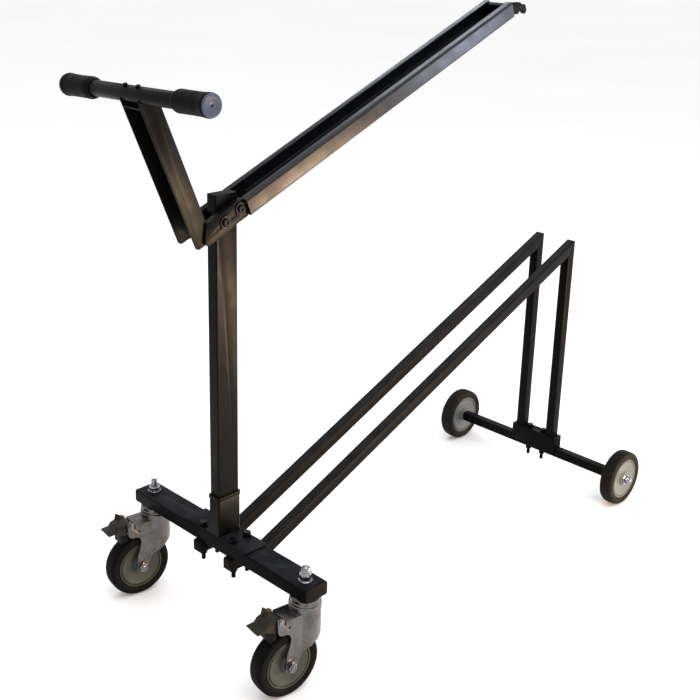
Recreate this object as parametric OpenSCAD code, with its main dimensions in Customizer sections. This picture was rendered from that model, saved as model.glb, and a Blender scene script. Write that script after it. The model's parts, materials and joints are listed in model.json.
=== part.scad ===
// Stand trolley: front cross beam on two braked swivel casters, column with a
// push handle and a sloping tray rail, two lower rails down to a rear wheel pair.
// Millimetres. Origin on the floor under the middle of the footprint, +X to the
// rear wheels, +Y to the left side, +Z up.

/* [Wheels] */
// diameter of all four wheels
wheel_d = 125; // [100:5:150]
// tread width of the front caster wheels
caster_wheel_w = 32; // [24:1:36]
// tread width of the rear wheels
rear_wheel_w = 31; // [24:1:36]
// distance between the middles of the rear wheels
rear_track = 472; // [420:2:520]
// distance from the front beam to the rear beam
wheelbase = 976; // [850:1:1100]
// horizontal offset of a caster wheel behind its swivel axis
caster_trail = 42.5; // [25:0.5:50]
// direction in which both casters are turned at rest
caster_yaw = -8; // [-45:1:45]
// how far the brake pedal turns when it is pressed
pedal_travel = 9; // [6:1:10]

/* [Front beam] */
// height of the beam's top face above the floor
beam_top = 206.5; // [180:0.5:230]
// length of the beam without its end caps
beam_length = 477; // [440:1:520]
// depth of the beam tube front to back
beam_depth = 51; // [40:1:60]
// height of the beam tube
beam_height = 25; // [20:1:40]
// distance between the two caster stems
stem_spacing = 427; // [380:1:460]

/* [Column] */
// depth of the column tube front to back
column_depth = 46; // [40:1:50]
// width of the column tube side to side
column_width = 24; // [20:1:30]
// height of the column's top above the floor
column_top = 841; // [700:1:950]
// height of the socket that the column plugs into
socket_height = 75; // [40:1:90]

/* [Lower rails and legs] */
// side of the square tube of rails, legs and rear beam
tube_side = 21; // [20:1:25]
// distance between the middles of the two lower rails
rail_spacing = 85.5; // [70:0.5:110]
// height of the corner where rail and leg meet
leg_top = 585; // [500:1:650]
// rise of the lower rails for each unit of run
rail_rise = 0.4355; // [0.3:0.0005:0.6]

/* [Upper rail and handle] */
// rise of the tray rail for each unit of run
tray_rise = 0.4214; // [0.3:0.0002:0.6]
// height of the tray rail's centre line at the column
head_height = 806; // [700:1:900]
// outside width of the tray rail
tray_width = 72; // [60:1:80]
// outside depth of the tray rail
tray_depth = 32; // [24:1:40]
// distance from the column axis to the high end of the tray rail
tray_reach = 776.5; // [500:0.5:900]
// distance from the rail's centre line up to the handle bar
handle_reach = 259.5; // [200:0.5:320]
// diameter of the handle bar
bar_d = 26; // [22:1:32]
// overall length of the handle bar with its grips
bar_length = 377; // [320:1:450]
// length of each rubber grip
grip_length = 78; // [70:1:120]
// sideways tilt of the bar in its saddle
bar_lean = -2.5; // [-4:0.5:4]

/* [Hidden] */
$fn = 48;
slack = 0.2;
slope = atan(tray_rise);
run_factor = sqrt(1 + rail_rise * rail_rise);
wheel_r = wheel_d / 2;
tube_wall = 2;

beam_bottom = beam_top - beam_height;
cap_t = 3;
saddle_length = 174;
saddle_t = 4;
saddle_top = beam_top + saddle_t;
sleeve_wall = 1.8;
collar_h = 6;
collar_wall = 1.2;
column_foot = saddle_top + 2;
column_cap_t = 4;

foot_top = beam_bottom;
foot_bottom = foot_top - tube_side;
foot_front = -29;
foot_bolt_x = 16;
leg_back = wheelbase + tube_side / 2;
leg_front = wheelbase - tube_side / 2;
rear_beam_bottom = wheel_r - tube_side / 2;
rear_beam_top = wheel_r + tube_side / 2;
rear_beam_length = rear_track - rear_wheel_w - 6;
yoke_wall = 2.5;
yoke_length = 124;
yoke_top = rear_beam_top + 28;
yoke_bottom = rear_beam_top - 12;
yoke_bolt_y = 19.5;

tray_wall = 3;
tray_lip = 15;
tray_start = 30.5;
bracket_wall = 3;
bracket_width = 56;
bracket_top = 17;
bracket_foot = -16.5;
bracket_tongue = 75;
bracket_lip = 10;
head_bolts_at = [[-17.8, 0], [18.8, 3.8]];
head_bolt_d = 8;
washer_d = 22;
arm_wall = 2.5;
arm_gap = 1;
arm_width = bracket_width - 2 * bracket_wall - 2 * arm_gap;
arm_depth = 35;
arm_back = -49.5;
arm_foot = -15.5;
bar_u = arm_back - 20.5;
grip_r = bar_d / 2 + 4.6;
grip_end = bar_length / 2 - 3;
bar_front = handle_reach * sin(slope) - bar_u * cos(slope) + grip_r;
front_overhang = bar_front + abs(grip_end * sin(bar_lean)) * sin(slope);
mid_x = (wheelbase + wheel_r - front_overhang) / 2;
bar_wall = 2;
screw_y = 17;
screw_d = 4;
saddle_drop = bar_d / 2 + arm_wall + 1.6;

stem_d = 12;
race_r = 27;
race_bottom = beam_bottom - 13;
crown_top = race_bottom - 1.6;
crown_r = 28.7;
crown_h = 11.5;
plate_top = crown_top - crown_h + 1;
ball_d = 4.5;
fork_inner = 36;
fork_t = 3;
fork_outer = fork_inner + 2 * fork_t;
axle_d = 10;
fold_x = -18.5;
pin_x = -63.5;
pin_z = 157;
pin_d = 6;
pedal_w = 34;
pedal_t = 2.5;
shoe_gap = 0.8;
stem_hole_d = stem_d + 1.2;
rear_rim_r = 46;
rear_bush_d = 18;
caster_rim_r = 45;
caster_bush_d = 16;
run_fit = 0.05;
swivel_z = 167;
rear_axle_d = 12;

// ---- frames ---------------------------------------------------------------

// whole object: the front beam's middle is at x = 0 inside this frame
module chassis() {
  translate([-mid_x, 0, 0]) children();
}

// rail frame: x runs up the tray rail, z is square to it
module on_slope() {
  chassis() translate([0, 0, head_height]) rotate([0, -slope, 0]) children();
}

// bar frame: y runs along the handle bar, from its middle
module on_bar() {
  on_slope() translate([bar_u, 0, handle_reach]) rotate([bar_lean, 0, 0]) children();
}

// caster frame: z is the swivel axis, the wheel trails towards -x
module on_caster(side) {
  chassis() translate([0, side * stem_spacing / 2, 0])
    rotate([0, 0, caster_yaw]) children();
}

module on_caster_axle(side) {
  on_caster(side) translate([-caster_trail, 0, wheel_r]) children();
}

module on_rear_wheel(side) {
  chassis() translate([wheelbase, side * rear_track / 2, wheel_r])
    scale([1, side, 1]) children();
}

module both_sides() {
  for (side = [-1, 1]) scale([1, side, 1]) children();
}

// ---- shared shapes ----------------------------------------------------------

// flat rectangle with round corners, centred
module round_rect(w, h, r) {
  square([w - 2 * r, h], center = true);
  square([w, h - 2 * r], center = true);
  for (sx = [-1, 1], sy = [-1, 1])
    translate([sx * (w / 2 - r), sy * (h / 2 - r)]) circle(r = r);
}

// wall of a rectangular tube, as a flat section
module tube_section(w, h, wall, r) {
  difference() {
    round_rect(w, h, r);
    round_rect(w - 2 * wall, h - 2 * wall, r - wall + 1);
  }
}

// plate with its outline in the x-z plane, centred on y
module upright(thickness, y = 0) {
  translate([0, y + thickness / 2, 0]) rotate([90, 0, 0])
    linear_extrude(thickness) children();
}

// cylinder along y from y0 to y1
module cross_rod(d, y0, y1) {
  translate([0, y0, 0]) rotate([-90, 0, 0]) cylinder(d = d, h = y1 - y0);
}

module hex_nut(flats, h) {
  cylinder(d = flats / cos(30), h = h, $fn = 6);
}

// acorn nut standing on z = 0, flange at the bottom
module dome_nut(flats, flange_d, h) {
  flange_h = 1.6;
  dome_d = flats * 0.94;
  cylinder(d = flange_d, h = flange_h);
  translate([0, 0, flange_h]) hex_nut(flats, h - flange_h - dome_d / 2);
  translate([0, 0, h - dome_d / 2]) difference() {
    sphere(d = dome_d);
    translate([0, 0, -flats]) cylinder(d = 2 * flats, h = flats);
  }
}

// ---- front beam and column ---------------------------------------------------

module front_beam() {
  color("#1d1d1f") chassis() difference() {
    translate([0, beam_length / 2, beam_top - beam_height / 2]) rotate([90, 0, 0])
      linear_extrude(beam_length) tube_section(beam_depth, beam_height, tube_wall, 3);
    for (side = [-1, 1]) {
      translate([0, side * stem_spacing / 2, beam_bottom - 1])
        cylinder(d = stem_d + 2 * slack, h = beam_height + 2);
      for (x = [-foot_bolt_x, foot_bolt_x])
        translate([x, side * rail_spacing / 2, beam_bottom - 1])
          cylinder(d = 8 + 2 * slack, h = beam_height + 2);
    }
  }
}

module beam_caps() {
  color("#161617") chassis() both_sides() {
    translate([0, beam_length / 2 + cap_t, beam_top - beam_height / 2]) rotate([90, 0, 0])
      linear_extrude(cap_t) round_rect(beam_depth, beam_height, 4);
    translate([0, beam_length / 2, beam_top - beam_height / 2]) rotate([90, 0, 0])
      linear_extrude(12)
        round_rect(beam_depth - 2 * tube_wall - 0.6, beam_height - 2 * tube_wall - 0.6, 1.5);
  }
}

module saddle_plate() {
  color("#1d1d1f") chassis() difference() {
    translate([0, 0, beam_top]) linear_extrude(saddle_t)
      round_rect(beam_depth, saddle_length, 3);
    for (side = [-1, 1], x = [-foot_bolt_x, foot_bolt_x])
      translate([x, side * rail_spacing / 2, beam_top - 1])
        cylinder(d = 8 + 2 * slack, h = saddle_t + 2);
  }
}

module column_socket() {
  inner_w = column_width + 2 * slack;
  inner_d = column_depth + 2 * slack;
  color("#1b1b1d") chassis() translate([0, 0, saddle_top])
    linear_extrude(socket_height) difference() {
      round_rect(inner_d + 2 * sleeve_wall, inner_w + 2 * sleeve_wall, 3.5);
      round_rect(inner_d, inner_w, 2);
    }
}

module socket_collar() {
  sleeve_d = column_depth + 2 * slack + 2 * sleeve_wall;
  sleeve_w = column_width + 2 * slack + 2 * sleeve_wall;
  socket_top = saddle_top + socket_height;
  color("#141415") chassis() difference() {
    translate([0, 0, socket_top - collar_h / 2]) linear_extrude(collar_h)
      round_rect(sleeve_d + 2 * collar_wall, sleeve_w + 2 * collar_wall, 4.5);
    translate([0, 0, socket_top - collar_h]) linear_extrude(collar_h)
      round_rect(sleeve_d, sleeve_w, 3.5);
    translate([0, 0, socket_top - 1]) linear_extrude(collar_h)
      round_rect(column_depth + 2 * slack, column_width + 2 * slack, 2);
  }
}

module column() {
  color("#1f1d1b") difference() {
    chassis() translate([0, 0, column_foot])
      linear_extrude(column_top - column_cap_t - column_foot)
        tube_section(column_depth, column_width, tube_wall, 2.5);
    on_slope() head_bolt_holes();
  }
}

module column_cap() {
  color("#2b2c2e") chassis() {
    translate([0, 0, column_top - column_cap_t]) linear_extrude(column_cap_t)
      round_rect(column_depth, column_width, 2.5);
    translate([0, 0, column_top - column_cap_t - 8]) linear_extrude(8)
      round_rect(column_depth - 2 * tube_wall - 0.6, column_width - 2 * tube_wall - 0.6, 1.2);
  }
}

// ---- head bracket, tray rail, handle ---------------------------------------------

module head_bolt_holes() {
  for (at = head_bolts_at)
    translate([at[0], 0, at[1]]) cross_rod(head_bolt_d + 2 * slack, -40, 40);
}

// side cheek: slanted nose at the front, stepped down at the back to fit in the rail
module bracket_cheek() {
  step = tray_depth / 2 - tray_wall - 0.4;
  end = tray_start - 1;
  polygon([
    [-52, bracket_top], [-65.5, -6], [-67, -10], [-66.6, -14.5], [-64, -18], [-60, -18.8],
    [-45, -19], [5, bracket_foot], [end, bracket_foot], [end, -step], [bracket_tongue, -step],
    [bracket_tongue, step], [end, step], [end, bracket_top]
  ]);
}

module head_bracket() {
  inner = bracket_width - 2 * bracket_wall;
  web_w = tray_width - 2 * tray_wall - 4.4;
  step = tray_depth / 2 - tray_wall - 0.4;
  color("#201e1c") on_slope() difference() {
    union() {
      for (side = [-1, 1])
        upright(bracket_wall, side * (bracket_width - bracket_wall) / 2) bracket_cheek();
      // lips along the top, in front of the rail
      for (side = [-1, 1])
        translate([arm_back + 0.5, side * (inner - bracket_lip) / 2 - bracket_lip / 2,
                   bracket_top - bracket_wall])
          cube([tray_start - 1.5 - arm_back, bracket_lip, bracket_wall]);
      // web behind the column, nearly as wide as the inside of the rail
      translate([tray_start + 4, -web_w / 2, -step])
        cube([bracket_tongue - tray_start - 4, web_w, bracket_wall]);
    }
    head_bolt_holes();
  }
}

module head_spacers() {
  gap = (bracket_width - 2 * bracket_wall - column_width) / 2;
  color("#3a3a3c") on_slope() for (at = head_bolts_at, side = [-1, 1])
    translate([at[0], 0, at[1]]) difference() {
      translate([0, side * (column_width + gap) / 2, 0])
        cross_rod(15, -gap / 2 + 0.05, gap / 2 - 0.05);
      cross_rod(head_bolt_d + 2 * slack, -40, 40);
    }
}

// button bolts with broad washers on the right, washers and nuts on the left
module head_bolts() {
  half = bracket_width / 2;
  washer_t = 2;
  head_t = 3;
  color("#17181b") on_slope() for (at = head_bolts_at)
    translate([at[0], 0, at[1]]) {
      difference() {
        union() {
          cross_rod(head_bolt_d, -half - 3, half + 11);
          cross_rod(washer_d, -half - washer_t, -half);
          cross_rod(15, -half - washer_t - head_t, -half - washer_t);
        }
        translate([0, -half - 3.5, 0]) rotate([90, 0, 0]) hex_nut(5, 5);
      }
      cross_rod(washer_d, half, half + washer_t);
      translate([0, half + washer_t, 0]) rotate([-90, 0, 0]) hex_nut(13, 6.5);
    }
}

module upper_rail() {
  length = tray_reach - tray_start;
  slot = tray_width - 2 * tray_lip;
  color("#23262b") on_slope() translate([tray_start, 0, 0])
    rotate([90, 0, 90]) linear_extrude(length) difference() {
      round_rect(tray_width, tray_depth, 5);
      round_rect(tray_width - 2 * tray_wall, tray_depth - 2 * tray_wall, 2);
      translate([-slot / 2, 0]) square([slot, tray_depth]);
    }
}

module rail_end_cap() {
  inner_w = tray_width - 2 * tray_wall - 0.4;
  inner_d = tray_depth - 2 * tray_wall - 0.4;
  color("#0d0d0e") on_slope() translate([tray_reach - 12, 0, 0]) rotate([90, 0, 90])
    linear_extrude(12) round_rect(inner_w, inner_d, 2);
}

// level claw on the rail's high end, with a notch between its two prongs
module rail_hook() {
  reach = 53;
  depth = 23;
  plate = 10;
  inner_face = -tray_width / 2 + 3;
  top = head_height + tray_reach * sin(slope) + (tray_depth / 2 - 1.5) * cos(slope);
  start = tray_reach * cos(slope) - (tray_depth / 2) * sin(slope);
  color("#111112") difference() {
    chassis() translate([start, 0, top]) upright(plate, inner_face + plate / 2) polygon([
      [0, -depth], [26, -depth], [33, -depth + 8], [38, -depth + 8],
      [reach - 4, -depth - 0.5], [reach, -depth + 5], [reach, -14],
      [reach - 5, -4.5], [reach - 16, -4.5], [reach - 22, 0], [0, 0]
    ]);
    on_slope() translate([tray_reach - 60, -60, -60]) cube([60, 120, 120]);
  }
}

// channel open to the front, its top end saddled to the bar
module handle_arm() {
  top = handle_reach - 2;
  front = arm_back - arm_depth;
  inner_w = arm_width - 2 * arm_wall;
  inner_d = arm_depth - arm_wall;
  plate_z = handle_reach - saddle_drop;
  corner_r = 7;
  color("#1e1d1d") difference() {
    on_slope() difference() {
      upright(arm_width) {
        translate([front, arm_foot + corner_r]) square([arm_depth, top - arm_foot - corner_r]);
        translate([front + corner_r, arm_foot])
          square([arm_depth - corner_r, 2 * corner_r]);
        translate([front + corner_r, arm_foot + corner_r]) circle(r = corner_r);
      }
      translate([front - 1, -inner_w / 2, arm_foot - 1])
        cube([inner_d + 1, inner_w, plate_z - arm_foot + 1]);
      translate([front - 1, -inner_w / 2, plate_z + arm_wall])
        cube([inner_d + 1, inner_w, bar_d]);
    }
    on_bar() {
      cross_rod(bar_d, -arm_width, arm_width);
      for (y = [-screw_y, screw_y])
        translate([0, y, -saddle_drop - 3]) cylinder(d = screw_d + 2 * slack, h = 9);
    }
  }
}

module handle_bar() {
  color("#202224") on_bar() difference() {
    cross_rod(bar_d, -grip_end, grip_end);
    cross_rod(bar_d - 2 * bar_wall, -bar_length, bar_length);
    for (y = [-screw_y, screw_y])
      translate([0, y, -bar_d]) cylinder(d = screw_d + 2 * slack, h = 2 * bar_d);
  }
}

// sleeve of rubber, thicker in the hand area and tapered at its inner end
module grip(side) {
  taper = 6;
  color("#121213") on_bar() scale([1, side, 1]) rotate([-90, 0, 0]) rotate_extrude()
    polygon([
      [bar_d / 2, grip_end - grip_length],
      [bar_d / 2 + 1.5, grip_end - grip_length],
      [bar_d / 2 + 3.6, grip_end - grip_length + taper],
      [bar_d / 2 + 4, grip_end - 14],
      [grip_r, grip_end - 8],
      [grip_r, grip_end],
      [bar_d / 2, grip_end]
    ]);
}

module grip_left() { grip(1); }
module grip_right() { grip(-1); }

module grip_discs() {
  plug_r = bar_d / 2 - bar_wall - 0.4;
  color("#8e97a6") on_bar() both_sides() rotate([-90, 0, 0]) rotate_extrude()
    polygon([
      [0, grip_end + 1], [5, grip_end + 1.6], [7, grip_end + 3], [grip_r - 2.2, grip_end + 3],
      [grip_r - 0.4, grip_end + 1.5], [grip_r - 0.4, grip_end],
      [plug_r, grip_end], [plug_r, grip_end - 8], [0, grip_end - 8]
    ]);
}

// screws down through bar and saddle, each with a nut under the saddle
module handle_screws() {
  tip = -saddle_drop - 8;
  color("#0f0f10") on_bar() for (y = [-screw_y, screw_y])
    translate([0, y, 0]) {
      translate([0, 0, tip]) cylinder(d = screw_d, h = bar_d / 2 + 1 - tip);
      translate([0, 0, bar_d / 2 + 0.02]) cylinder(d = 9, h = 2.8);
      translate([0, 0, tip + 3]) hex_nut(7, 4);
    }
}

// ---- lower rails, legs, rear beam --------------------------------------------------

// height of the rail's upper face line at distance x from the front beam
function rail_line(x) = leg_top + rail_rise * (x - leg_back);
// distance at which that line comes down to a given height
function rail_reach(z) = leg_back + (z - leg_top) / rail_rise;

// side view of one rail, shrunk by its wall thickness on every long face
module rail_outline(inset) {
  drop = tube_side * run_factor;
  cut = inset * run_factor;
  bend_top = rail_reach(foot_top - inset + cut);
  bend_bottom = rail_reach(foot_bottom + inset + drop - cut);
  end = inset > 0 ? 5 : 0;
  polygon([
    [foot_front - end, foot_bottom + inset],
    [bend_bottom, foot_bottom + inset],
    [leg_front + inset, rail_line(leg_front + inset) - drop + cut],
    [leg_back - inset, rail_line(leg_back - inset) - cut],
    [bend_top, foot_top - inset],
    [foot_front - end, foot_top - inset]
  ]);
}

module lower_rail(side) {
  color("#1c1c1e") chassis() translate([0, side * rail_spacing / 2, 0]) difference() {
    upright(tube_side) rail_outline(0);
    upright(tube_side - 2 * tube_wall) rail_outline(tube_wall);
    for (x = [-foot_bolt_x, foot_bolt_x])
      translate([x, 0, foot_bottom - 1]) cylinder(d = 8 + 2 * slack, h = tube_side + 2);
  }
}

module lower_rail_left() { lower_rail(1); }
module lower_rail_right() { lower_rail(-1); }

module foot_plugs() {
  inner = tube_side - 2 * tube_wall - 0.4;
  color("#161617") chassis() for (side = [-1, 1])
    translate([foot_front, side * rail_spacing / 2, (foot_top + foot_bottom) / 2])
      rotate([90, 0, 90]) {
        translate([0, 0, -2]) linear_extrude(2) round_rect(tube_side, tube_side, 2);
        linear_extrude(7) round_rect(inner, inner, 1);
      }
}

// hexagon bolts through saddle plate, beam and rail foot, with nuts underneath
module foot_bolts() {
  tip = foot_bottom - 21;
  color("#1a1a1b") chassis() for (side = [-1, 1], x = [-foot_bolt_x, foot_bolt_x])
    translate([x, side * rail_spacing / 2, 0]) {
      translate([0, 0, tip]) cylinder(d = 8, h = saddle_top - tip + 1);
      translate([0, 0, saddle_top]) cylinder(d = 16, h = 1.6);
      translate([0, 0, saddle_top + 1.6]) hex_nut(13, x < 0 ? 5.4 : 8);
      translate([0, 0, foot_bottom - 1.6]) cylinder(d = 16, h = 1.6);
      translate([0, 0, foot_bottom - 8.6]) hex_nut(13, 7);
    }
}

module leg(side) {
  drop = tube_side * run_factor;
  color("#1c1c1e") chassis() translate([0, side * rail_spacing / 2, 0]) difference() {
    upright(tube_side) polygon([
      [leg_front, rear_beam_top], [leg_back, rear_beam_top],
      [leg_back, leg_top], [leg_front, rail_line(leg_front) - drop]
    ]);
    upright(tube_side - 2 * tube_wall) polygon([
      [leg_front + tube_wall, rear_beam_top - 1], [leg_back - tube_wall, rear_beam_top - 1],
      [leg_back - tube_wall, rail_line(leg_back - tube_wall) - tube_wall * run_factor],
      [leg_front + tube_wall, rail_line(leg_front + tube_wall) - drop + tube_wall * run_factor]
    ]);
  }
}

module leg_left() { leg(1); }
module leg_right() { leg(-1); }

// box open underneath, straddling the rear beam, with a hole for each leg
module leg_yoke() {
  color("#1a1a1c") chassis() translate([wheelbase, 0, 0]) difference() {
    translate([-tube_side / 2 - yoke_wall, -yoke_length / 2, yoke_bottom])
      cube([tube_side + 2 * yoke_wall, yoke_length, yoke_top - yoke_bottom]);
    translate([-tube_side / 2, -yoke_length / 2 + yoke_wall, yoke_bottom - 1])
      cube([tube_side, yoke_length - 2 * yoke_wall, yoke_top - yoke_wall - yoke_bottom + 1]);
    translate([-tube_side / 2, -yoke_length, yoke_bottom - 1])
      cube([tube_side, 2 * yoke_length, rear_beam_top - yoke_bottom + 1]);
    for (side = [-1, 1]) {
      translate([-tube_side / 2, side * rail_spacing / 2 - tube_side / 2, yoke_bottom])
        cube([tube_side, tube_side, yoke_top]);
      translate([0, side * yoke_bolt_y, yoke_bottom])
        cylinder(d = 8 + 2 * slack, h = yoke_top);
    }
  }
}

module yoke_bolts() {
  tip = rear_beam_bottom - 23;
  color("#1a1a1b") chassis() for (side = [-1, 1])
    translate([wheelbase, side * yoke_bolt_y, 0]) {
      translate([0, 0, tip]) cylinder(d = 8, h = yoke_top - tip + 1);
      translate([0, 0, yoke_top]) cylinder(d = 16, h = 1.6);
      translate([0, 0, yoke_top + 1.6]) hex_nut(13, 5.4);
      translate([0, 0, rear_beam_bottom - 1.6]) cylinder(d = 16, h = 1.6);
      translate([0, 0, rear_beam_bottom - 8.6]) hex_nut(13, 7);
    }
}

module rear_beam() {
  color("#1d1d1f") chassis() difference() {
    translate([wheelbase, rear_beam_length / 2, wheel_r]) rotate([90, 0, 0])
      linear_extrude(rear_beam_length) tube_section(tube_side, tube_side, tube_wall, 2.5);
    for (side = [-1, 1])
      translate([wheelbase, side * yoke_bolt_y, rear_beam_bottom - 1])
        cylinder(d = 8 + 2 * slack, h = tube_side + 2);
  }
}

// stub axles set in plugs at the ends of the rear beam
module rear_axle() {
  inner = tube_side - 2 * tube_wall - 0.4;
  end = rear_track / 2 + rear_wheel_w / 2 + 10;
  color("#b9bcc0") chassis() translate([wheelbase, 0, wheel_r]) both_sides() {
    cross_rod(rear_axle_d, rear_beam_length / 2 - 40, end);
    translate([0, rear_beam_length / 2, 0]) rotate([90, 0, 0])
      linear_extrude(40) round_rect(inner, inner, 1);
    cross_rod(20, rear_beam_length / 2, rear_beam_length / 2 + 2.5);
  }
}

module rear_axle_nuts() {
  face = rear_track / 2 + rear_wheel_w / 2 + 0.6;
  color("#c9ccd0") chassis() translate([wheelbase, 0, wheel_r]) both_sides()
    translate([0, face, 0]) rotate([-90, 0, 0]) difference() {
      dome_nut(17, 24, 15.5);
      translate([0, 0, -1]) cylinder(d = rear_axle_d, h = 12.4);
    }
}

// ---- wheels --------------------------------------------------------------------------

// solid rubber tyre round the wheel's middle plane, axis along y
module tyre(width, rim_r) {
  shoulder = 6;
  rotate([-90, 0, 0]) rotate_extrude($fn = 96) {
    polygon([
      [rim_r, -width / 2 + 1.5], [wheel_r - shoulder, -width / 2],
      [wheel_r - 2, -width / 2 + 3], [wheel_r, -width / 2 + shoulder + 2],
      [wheel_r, width / 2 - shoulder - 2], [wheel_r - 2, width / 2 - 3],
      [wheel_r - shoulder, width / 2], [rim_r, width / 2 - 1.5]
    ]);
  }
}

// dished disc rim with a raised edge, a groove and a hub
module rim(width, rim_r, hub_r, bore) {
  half = width / 2 - 1.5;
  rotate([-90, 0, 0]) rotate_extrude($fn = 96)
    polygon([
      [bore / 2, -width / 2], [hub_r, -width / 2], [hub_r + 1, -half + 3],
      [rim_r - 9, -half + 2], [rim_r - 8, -half + 4], [rim_r - 5, -half + 4],
      [rim_r - 4, -half], [rim_r, -half],
      [rim_r, half], [rim_r - 4, half], [rim_r - 5, half - 4],
      [rim_r - 8, half - 4], [rim_r - 9, half - 2],
      [hub_r + 1, half - 3], [hub_r, width / 2], [bore / 2, width / 2]
    ]);
}

module bush(width, outer_d, bore) {
  difference() {
    cross_rod(outer_d, -width / 2, width / 2);
    cross_rod(bore, -width, width);
  }
}

module rear_rim(side) {
  color("#9a9d9c") on_rear_wheel(side) rim(rear_wheel_w - 1, rear_rim_r, 16, rear_bush_d);
}
module rear_tyre(side) {
  color("#3d3833") on_rear_wheel(side) tyre(rear_wheel_w, rear_rim_r);
}
module rear_bush(side) {
  color("#d8d6cf") on_rear_wheel(side)
    bush(rear_wheel_w - 0.4, rear_bush_d, rear_axle_d + 2 * run_fit);
}

module rear_rim_left() { rear_rim(1); }
module rear_rim_right() { rear_rim(-1); }
module rear_tyre_left() { rear_tyre(1); }
module rear_tyre_right() { rear_tyre(-1); }
module rear_bush_left() { rear_bush(1); }
module rear_bush_right() { rear_bush(-1); }

// ---- casters ---------------------------------------------------------------------------

// stems through the beam; their heads hold the forks up against the races
module stem_bolts() {
  head_top = plate_top - fork_t - 0.5;
  tip = [beam_top + 23, beam_top + 20];
  color("#c9ccd0") for (side = [-1, 1]) on_caster(side) {
    translate([0, 0, head_top - 4]) cylinder(d = 24, h = 4);
    translate([0, 0, head_top - 4])
      cylinder(d = stem_d, h = (side > 0 ? tip[0] : tip[1]) - head_top + 4);
  }
}

// hexagon nut on the left stem, acorn nut on the right one
module stem_nuts() {
  color("#cfd2d6") {
    on_caster(1) translate([0, 0, beam_top]) difference() {
      union() {
        cylinder(d = 25, h = 2.5);
        translate([0, 0, 2.5]) hex_nut(19, 8.5);
      }
      translate([0, 0, -1]) cylinder(d = stem_d, h = 14);
    }
    on_caster(-1) translate([0, 0, beam_top]) difference() {
      dome_nut(19, 25, 28);
      translate([0, 0, -1]) cylinder(d = stem_d, h = 21);
    }
  }
}

// upper ball race, a dished washer clamped under the beam
module caster_races() {
  color("#b7b3a4") for (side = [-1, 1]) on_caster(side) translate([0, 0, race_bottom])
    rotate_extrude($fn = 72) polygon([
      [stem_d / 2, 0], [race_r + 1, 0], [race_r + 1, 2.5], [race_r - 0.5, 4],
      [race_r - 0.5, 9], [race_r - 4, 11.5], [race_r - 5, beam_bottom - race_bottom],
      [stem_d / 2, beam_bottom - race_bottom]
    ]);
}

// flat side of the fork: leg down to the axle and lobe for the pedal's pin
module fork_side() {
  difference() {
    union() {
      translate([-caster_trail, wheel_r]) circle(r = 11);
      polygon([
        [-caster_trail - 10.6, wheel_r + 3], [-50.5, 88], [-44, 108], [-42.5, 116],
        [-43.5, 123], [-47, 128], [-53, 130], [-60, 130.5], [-66, 133], [-69, 139],
        [-70, 157], [-64, 163], [-58, 161], [-56, 157], [-53, plate_top - 0.5],
        [-50, plate_top], [fold_x + 1, plate_top], [fold_x + 1, 84],
        [-caster_trail + 10.2, wheel_r - 4]
      ]);
      translate([pin_x, pin_z]) circle(r = 7);
    }
    translate([-56.2, plate_top - 7]) square([2.8, 14]);
    translate([-46, 141.5]) circle(d = 4.4, $fn = 24);
  }
}

// round wall behind the wheel, its lower edge rising to the back
module fork_back() {
  low = 82;
  rise = 34;
  back_r = crown_r - 0.7;
  difference() {
    translate([0, 0, low]) cylinder(r = back_r, h = plate_top - low, $fn = 96);
    translate([0, 0, low - 1])
      cylinder(r = back_r - fork_t, h = plate_top - fork_t - low + 1, $fn = 96);
    translate([-60, -40, low - 10]) cube([60 + fold_x, 80, 100]);
    translate([fold_x, -40, low + 2]) rotate([0, -rise, 0]) translate([-20, 0, -80])
      cube([90, 80, 80]);
  }
}

module fork(side) {
  front = -53;
  crown_z = plate_top - fork_t;
  crown_lip = crown_top - crown_z;
  color("#b9b6a8") on_caster(side) difference() {
    union() {
      fork_back();
      for (y = [-1, 1]) upright(fork_t, y * (fork_outer - fork_t) / 2) fork_side();
      translate([front, -fork_outer / 2, crown_z]) cube([4 - front, fork_outer, fork_t]);
      // lower race: a turned crown with a groove for the balls
      translate([0, 0, crown_z]) rotate_extrude($fn = 96) polygon([
        [0, 0], [crown_r - 2, 0], [crown_r, 2], [crown_r, crown_lip - 1.5],
        [crown_r - 1.5, crown_lip], [24, crown_lip], [24, crown_lip - 3],
        [16, crown_lip - 3], [16, crown_lip], [0, crown_lip]
      ]);
    }
    translate([-caster_trail, 0, wheel_r]) cross_rod(axle_d, -40, 40);
    translate([pin_x, 0, pin_z]) cross_rod(pin_d, -40, 40);
    translate([0, 0, crown_z - 10]) cylinder(d = stem_hole_d, h = 60);
  }
}

module ball_ring(side) {
  balls = 18;
  groove = crown_top - 3;
  color("#d5d7da") on_caster(side) for (i = [0 : balls - 1])
    rotate([0, 0, i * 360 / balls]) translate([20, 0, groove + ball_d / 2 + 0.05])
      sphere(d = ball_d, $fn = 24);
}

// side view of the pedal's skin: level tread lip, hump, flat top over the pin
module pedal_skin() {
  t = pedal_t;
  polygon([
    [-108.4, 148.6], [-107.6, 149.9], [-93.2, 151.4], [-88.4, 158], [-80, 161.2], [-60.5, 161.6],
    [-60.5, 161.6 - t], [-79.4, 161.2 - t], [-86.6, 156.2], [-91.6, 151.2 - t], [-107.8, 147.2]
  ]);
}

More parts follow.
